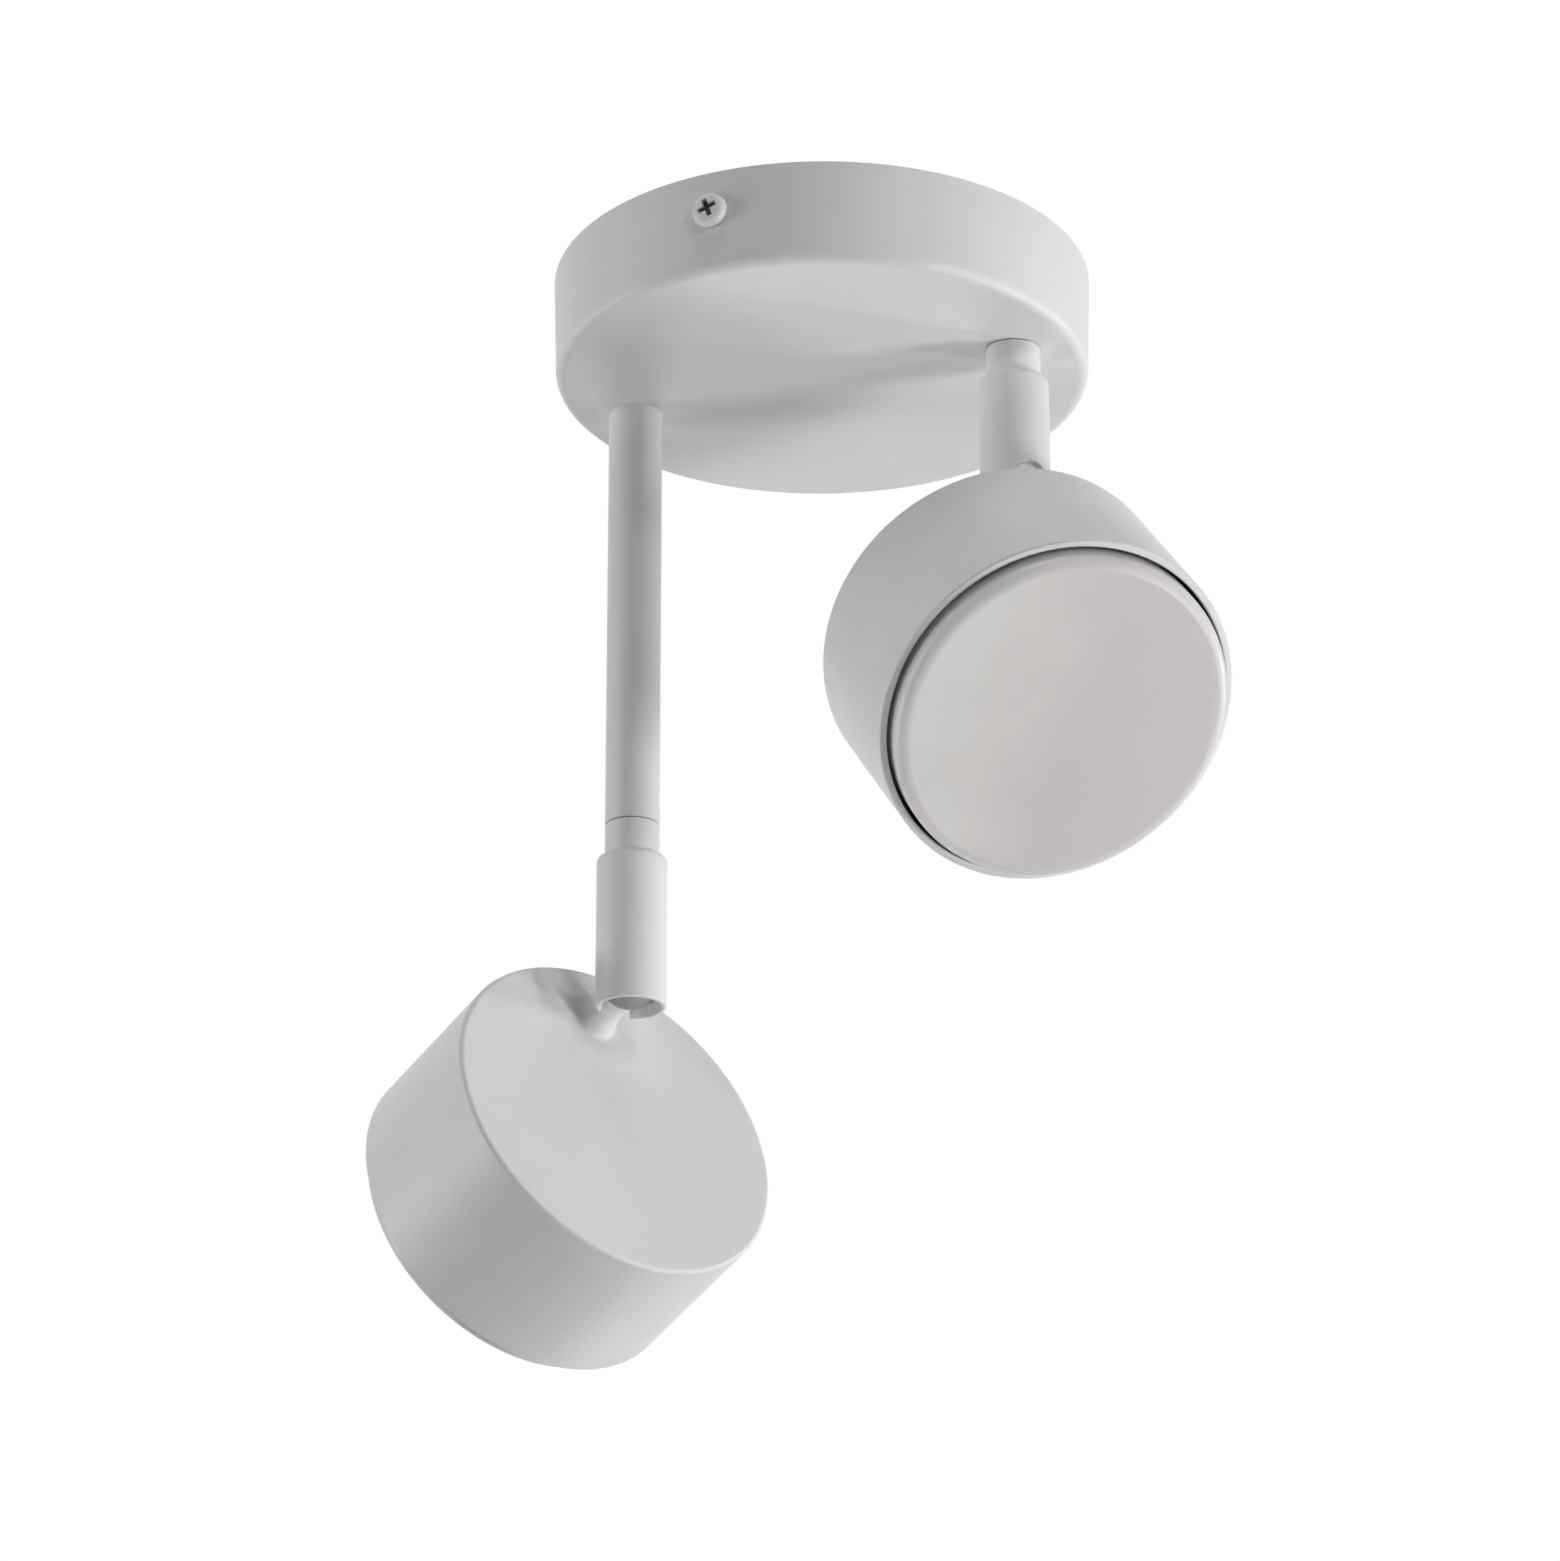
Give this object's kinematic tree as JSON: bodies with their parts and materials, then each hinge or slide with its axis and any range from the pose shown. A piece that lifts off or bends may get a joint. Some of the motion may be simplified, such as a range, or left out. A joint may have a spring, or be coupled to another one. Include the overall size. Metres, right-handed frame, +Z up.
{
  "type": "adjustable ceiling spotlight",
  "caption": "Ceiling spotlight: round canopy with a long and a short arm, each ending in a slotted ball swivel and a drum-shaped head with a flat opal disc lamp.",
  "frame": {"origin": "centre of the canopy's ceiling face, on top of the bracket strap", "axes": "+Z up into the ceiling, +X from the long stem to the head that hangs straight from the canopy"},
  "size_m": [0.1963, 0.1246, 0.2402],
  "materials": {
    "white_paint": "satin powder coat",
    "zinc_steel": "zinc plated",
    "brass": "plain",
    "white_moulding": "fine moulded",
    "dark_fibre": "plain",
    "opal_plastic": "opal satin",
    "board_aluminium": "white solder mask",
    "lead_silicone": "plain",
    "earth_silicone": "green and yellow"
  },
  "bodies": {
    "canopy": {"canopy_shell": "white_paint", "mounting_bracket": "zinc_steel", "canopy_screws": "white_paint", "terminal_block": "white_moulding", "terminal_screws": "zinc_steel", "earth_tag": "brass", "earth_screw": "zinc_steel", "earth_lead": "earth_silicone", "long_stem": "white_paint", "stem_nipple": "zinc_steel", "nipple_washers": "zinc_steel", "nipple_nuts": "zinc_steel", "long_arm_leads": "lead_silicone", "long_pivot_nipple": "zinc_steel", "long_pivot_washer": "zinc_steel", "long_joint_washer": "dark_fibre", "short_arm_leads": "lead_silicone", "short_pivot_nipple": "zinc_steel", "short_pivot_washer": "zinc_steel", "short_joint_washer": "dark_fibre"},
    "long_swivel": {"long_swivel_cap": "white_paint", "long_swivel_barrel": "white_paint", "long_ball_cup": "white_moulding", "long_friction_springs": "zinc_steel"},
    "long_head": {"long_ball_stud": "white_paint", "long_stud_washer": "zinc_steel", "long_stud_nut": "zinc_steel", "long_head_housing": "white_paint", "long_lampholder_bridge": "zinc_steel", "long_lampholder": "white_moulding", "long_lampholder_screws": "zinc_steel", "long_lampholder_contacts": "brass", "long_head_leads": "lead_silicone"},
    "long_lamp": {"long_lamp_base": "white_moulding", "long_lamp_pins": "brass", "long_led_board": "board_aluminium", "long_lamp_diffuser": "opal_plastic"},
    "short_swivel": {"short_swivel_cap": "white_paint", "short_swivel_barrel": "white_paint", "short_ball_cup": "white_moulding", "short_friction_springs": "zinc_steel"},
    "short_head": {"short_ball_stud": "white_paint", "short_stud_washer": "zinc_steel", "short_stud_nut": "zinc_steel", "short_head_housing": "white_paint", "short_lampholder_bridge": "zinc_steel", "short_lampholder": "white_moulding", "short_lampholder_screws": "zinc_steel", "short_lampholder_contacts": "brass", "short_head_leads": "lead_silicone"},
    "short_lamp": {"short_lamp_base": "white_moulding", "short_lamp_pins": "brass", "short_led_board": "board_aluminium", "short_lamp_diffuser": "opal_plastic"}
  },
  "joints": [
    {"name": "long_pan", "type": "hinge", "parent": "canopy", "child": "long_swivel", "pos_m": [-0.045, 0, -0.1598], "axis": [0, 0, 1], "range_deg": [-175, 175]},
    {"name": "long_tilt", "type": "hinge", "parent": "long_swivel", "child": "long_head", "pos_m": [-0.045, 0, -0.1598], "axis": [0.524, 0.8517, 0], "range_deg": [-70.5, 19.5]},
    {"name": "long_lamp_twist", "type": "hinge", "parent": "long_head", "child": "long_lamp", "pos_m": [-0.04889, 0.00239, -0.18974], "axis": [-0.8029, 0.4939, -0.3338], "range_deg": [0, 12]},
    {"name": "short_pan", "type": "hinge", "parent": "canopy", "child": "short_swivel", "pos_m": [0.045, 0, -0.0598], "axis": [0, 0, 1], "range_deg": [-175, 175]},
    {"name": "short_tilt", "type": "hinge", "parent": "short_swivel", "child": "short_head", "pos_m": [0.045, 0, -0.0598], "axis": [-0.6691, -0.7431, 0], "range_deg": [-43, 47]},
    {"name": "short_lamp_twist", "type": "hinge", "parent": "short_head", "child": "short_lamp", "pos_m": [0.03774, 0.00654, -0.08847], "axis": [0.5068, -0.4563, -0.7314], "range_deg": [0, 12]}
  ]
}
